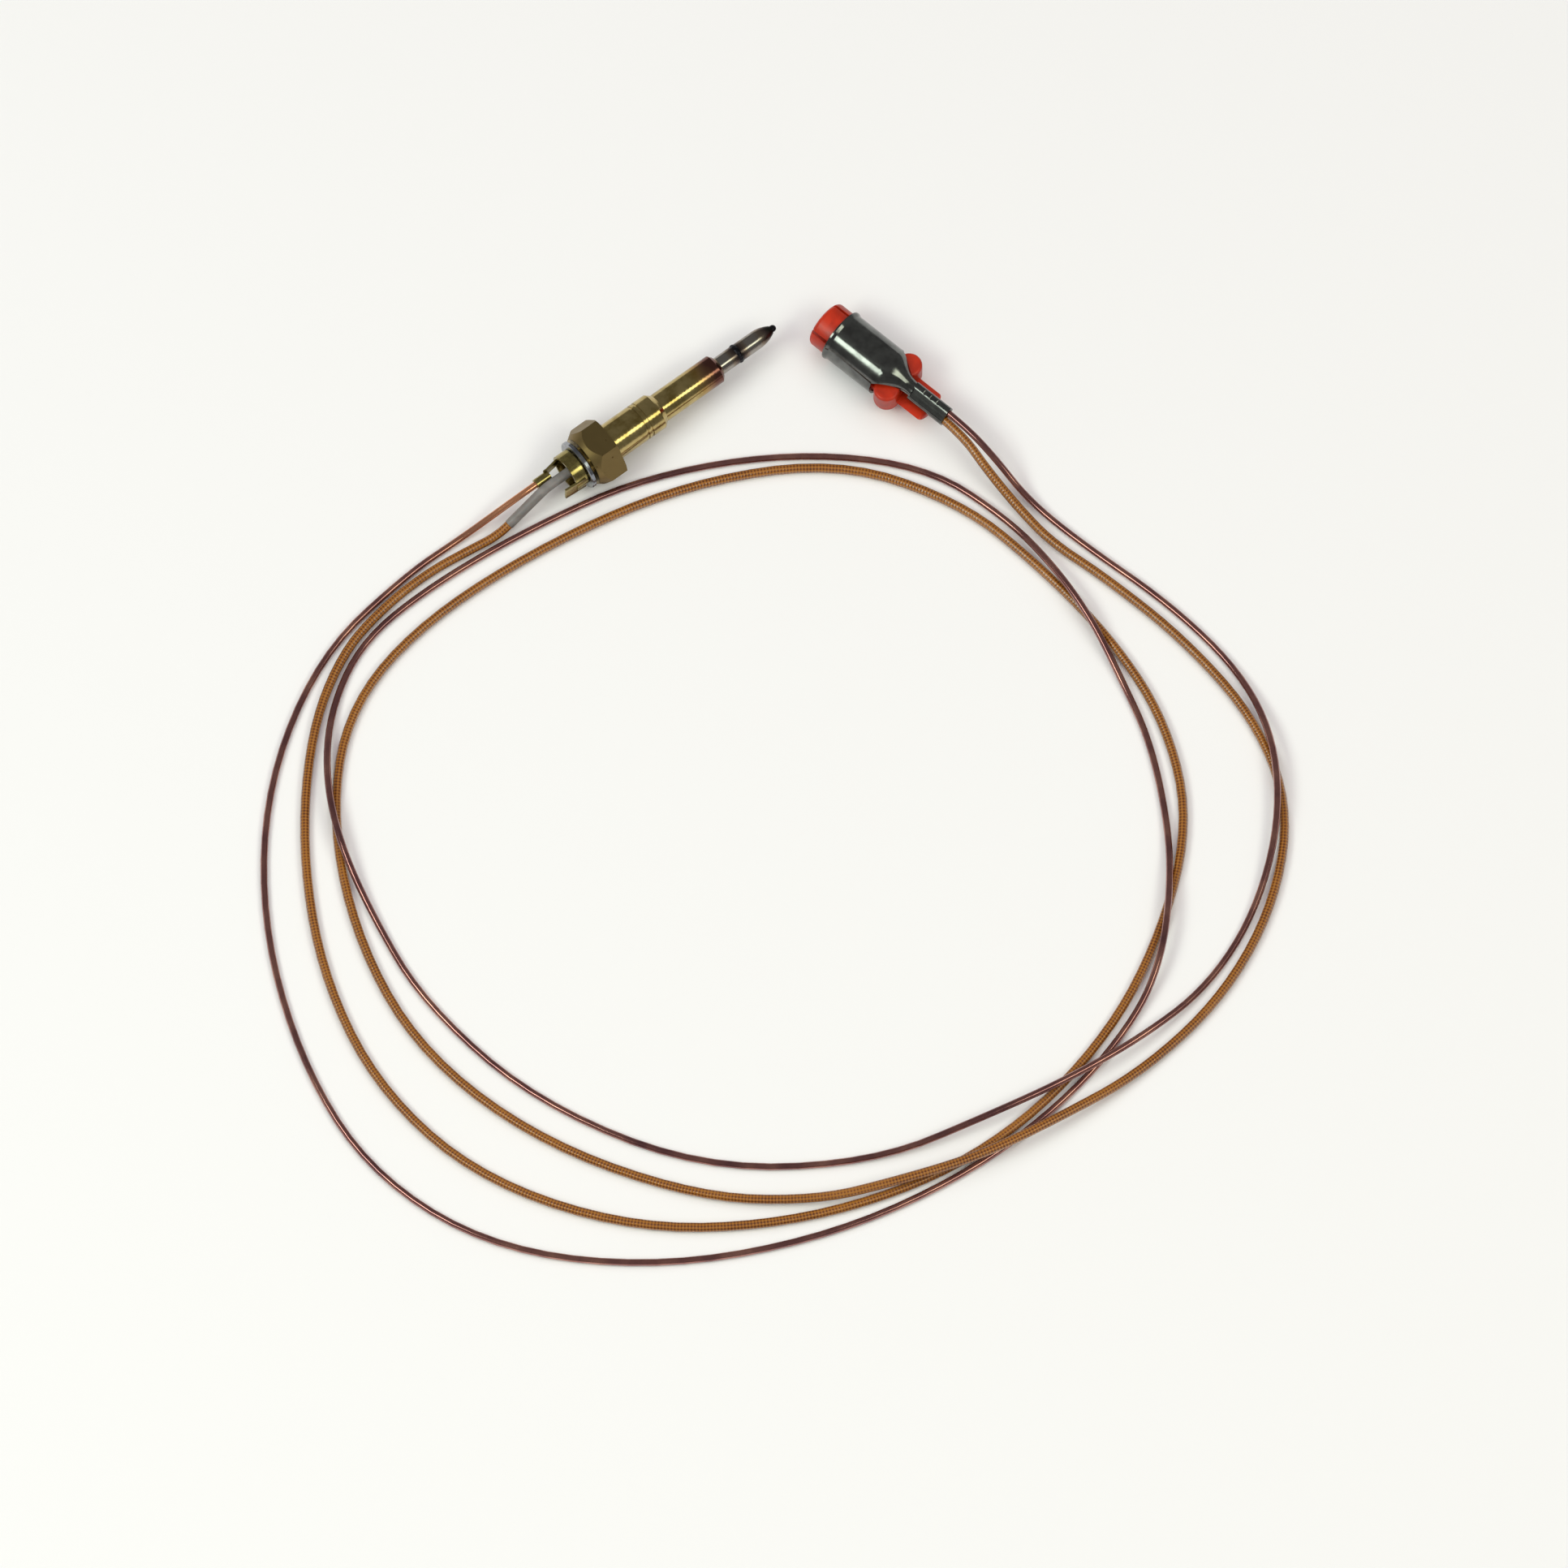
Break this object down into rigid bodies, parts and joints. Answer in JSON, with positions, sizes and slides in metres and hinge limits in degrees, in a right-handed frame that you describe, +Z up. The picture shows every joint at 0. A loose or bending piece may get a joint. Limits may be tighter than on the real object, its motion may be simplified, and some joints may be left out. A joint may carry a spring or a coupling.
{
  "type": "thermocouple",
  "caption": "Gas hob thermocouple: brass push-in head with hexagon and steel probe, earth and insulated leads in a loose double loop, push-on coaxial connector.",
  "frame": {"origin": "centre of the hexagon's front face, on the head's axis, where the head seats against the burner bracket", "axes": "+X along the head's axis towards the probe tip, +Z up, away from the table that the object lies on"},
  "size_m": [0.1695, 0.149, 0.01],
  "materials": {
    "turned_brass": "turned, satin bright",
    "pressed_brass": "pressed sheet",
    "stainless_tube": "drawn tube, polished",
    "heat_darkened_weld": "oxidised weld",
    "silver_braze": "braze fillet",
    "zinc_plated_steel": "zinc plated",
    "tin_plated_sheet": "bright tin plate",
    "constantan_wire": "drawn wire",
    "ceramic": "unglazed",
    "grey_sleeve": "translucent sleeve",
    "lacquered_copper": "dark clear lacquer over copper",
    "varnished_glass_fibre": "varnished braided glass fibre",
    "red_nylon": "moulded nylon"
  },
  "bodies": {
    "thermocouple": {"hex_body": "turned_brass", "probe_tube": "stainless_tube", "probe_weld_ring": "heat_darkened_weld", "probe_tip": "stainless_tube", "hot_junction_bead": "heat_darkened_weld", "braze_ring": "silver_braze", "electrode": "constantan_wire", "electrode_insulation": "ceramic", "rear_bush": "ceramic", "earth_terminal": "pressed_brass", "splice_sleeve": "grey_sleeve", "splice_ferrule": "pressed_brass", "lead_core_head_end": "constantan_wire", "copper_lead": "lacquered_copper", "insulated_lead": "varnished_glass_fibre", "connector_shell": "tin_plated_sheet", "connector_insulator": "red_nylon", "centre_contact": "tin_plated_sheet", "lead_core_connector_end": "constantan_wire"},
    "washer": {"retaining_washer": "zinc_plated_steel"}
  },
  "joints": [
    {"name": "washer_spin", "type": "hinge", "parent": "thermocouple", "child": "washer", "pos_m": [-0.00595, 0, 0], "axis": [1, 0, 0], "continuous": true}
  ]
}
